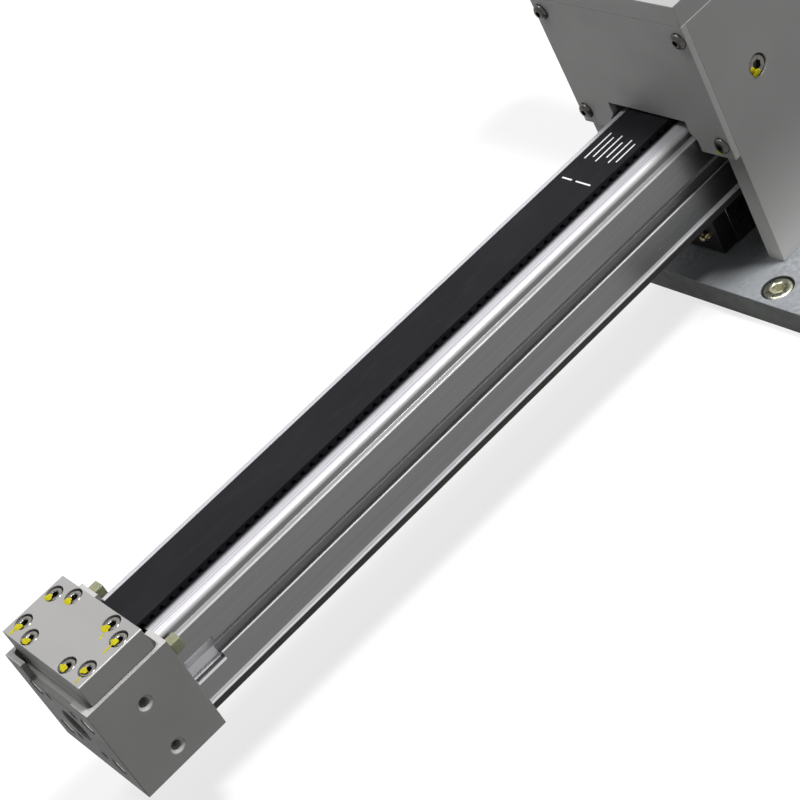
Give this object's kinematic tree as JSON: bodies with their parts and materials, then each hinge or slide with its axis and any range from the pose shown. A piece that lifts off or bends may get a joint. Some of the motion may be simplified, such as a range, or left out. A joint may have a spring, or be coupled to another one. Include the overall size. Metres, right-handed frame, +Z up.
{
  "type": "belt-driven cantilever linear axis",
  "caption": "Electric linear axis: a belt-driven aluminium rail slides through a fixed drive head with a side motor; tools fasten to its end blocks.",
  "frame": {"origin": "centre of the base plate's underside, in the middle of the four stud screws", "axes": "+X along the rail towards the rear end block, +Y to the motor's side, +Z up, away from the base"},
  "size_m": [0.58, 0.24, 0.159],
  "materials": {
    "base_alloy": "milled and clear anodised",
    "casing_alloy": "satin grey anodised",
    "profile_alloy": "extruded, clear anodised",
    "block_alloy": "milled, clear anodised",
    "roller_alloy": "turned",
    "screw_steel": "bright zinc plated",
    "yellow_zinc": "yellow zinc plated",
    "ground_steel": "hardened and ground",
    "turned_steel": "turned",
    "brass": "turned",
    "black_plastic": "moulded, matte",
    "belt_black": "matte polyurethane with steel cords",
    "pad_rubber": "translucent yellow-green polyurethane",
    "spider_rubber": "moulded polyurethane",
    "motor_black": "black coat, semi-matte",
    "motor_metal": "die cast, turned faces"
  },
  "bodies": {
    "head": {"base_plate": "base_alloy", "side_plate_right": "casing_alloy", "side_plate_left": "casing_alloy", "top_plate": "casing_alloy", "front_cover": "casing_alloy", "rear_cover": "casing_alloy", "base_screws": "yellow_zinc", "side_plate_screws": "screw_steel", "top_plate_screws": "screw_steel", "cover_screws": "screw_steel", "idler_pin_screws": "screw_steel", "runner_block_front": "ground_steel", "runner_block_rear": "ground_steel", "runner_caps_front": "black_plastic", "runner_caps_rear": "black_plastic", "grease_nipples": "brass", "runner_screws": "screw_steel", "idler_pin_front": "ground_steel", "idler_pin_rear": "ground_steel", "idler_spacers": "roller_alloy", "shaft_bearing_right": "ground_steel", "shaft_bearing_left": "ground_steel", "motor_adapter": "casing_alloy", "adapter_screws": "screw_steel", "motor_bell": "motor_metal", "motor_stack": "motor_black", "motor_rear_cap": "motor_metal", "motor_socket": "black_plastic", "motor_screws": "screw_steel", "belt_loop": "belt_black"},
    "rail": {"rail_profile": "profile_alloy", "guide_rail": "ground_steel", "guide_rail_screws": "screw_steel", "end_block_front": "block_alloy", "end_block_rear": "block_alloy", "end_block_screws": "screw_steel", "clamp_jaw_front": "block_alloy", "clamp_jaw_rear": "block_alloy", "clamp_plate_front": "block_alloy", "clamp_plate_rear": "block_alloy", "clamp_screws_front": "screw_steel", "clamp_screws_rear": "screw_steel", "bumper_pads_front": "pad_rubber", "bumper_pads_rear": "pad_rubber", "belt_run_front": "belt_black", "belt_run_rear": "belt_black"},
    "drive": {"drive_pulley": "roller_alloy", "pulley_flanges": "screw_steel", "drive_shaft": "turned_steel", "shaft_key": "turned_steel", "coupling_hub_shaft": "roller_alloy", "coupling_spider": "spider_rubber", "coupling_hub_motor": "roller_alloy", "motor_shaft": "turned_steel"},
    "idler_front": {"idler_roller_front": "turned_steel", "idler_bearings_front": "ground_steel"},
    "idler_rear": {"idler_roller_rear": "turned_steel", "idler_bearings_rear": "ground_steel"}
  },
  "joints": [
    {"name": "rail_slide", "type": "slide", "parent": "head", "child": "rail", "axis": [1, 0, 0], "range_m": [-0.055, 0.29], "deforming": ["belt_run_front", "belt_run_rear", "belt_loop"]},
    {"name": "pulley_spin", "type": "hinge", "parent": "head", "child": "drive", "pos_m": [0, 0, 0.108], "axis": [0, 1, 0], "range_deg": [-133, 697], "deforming": ["belt_run_front", "belt_run_rear", "belt_loop"]},
    {"name": "front_idler_spin", "type": "hinge", "parent": "head", "child": "idler_front", "pos_m": [-0.0393, 0, 0.0978], "axis": [0, 1, 0], "range_deg": [-1122, 214], "deforming": ["belt_run_front", "belt_run_rear", "belt_loop"]},
    {"name": "rear_idler_spin", "type": "hinge", "parent": "head", "child": "idler_rear", "pos_m": [0.0393, 0, 0.0978], "axis": [0, 1, 0], "range_deg": [-1122, 214], "deforming": ["belt_run_front", "belt_run_rear", "belt_loop"]}
  ],
  "couplings": [
    {"joint": "pulley_spin", "follows": "rail_slide", "rad_per_m": 41.888},
    {"joint": "front_idler_spin", "follows": "rail_slide", "rad_per_m": -67.431},
    {"joint": "rear_idler_spin", "follows": "rail_slide", "rad_per_m": -67.431}
  ]
}
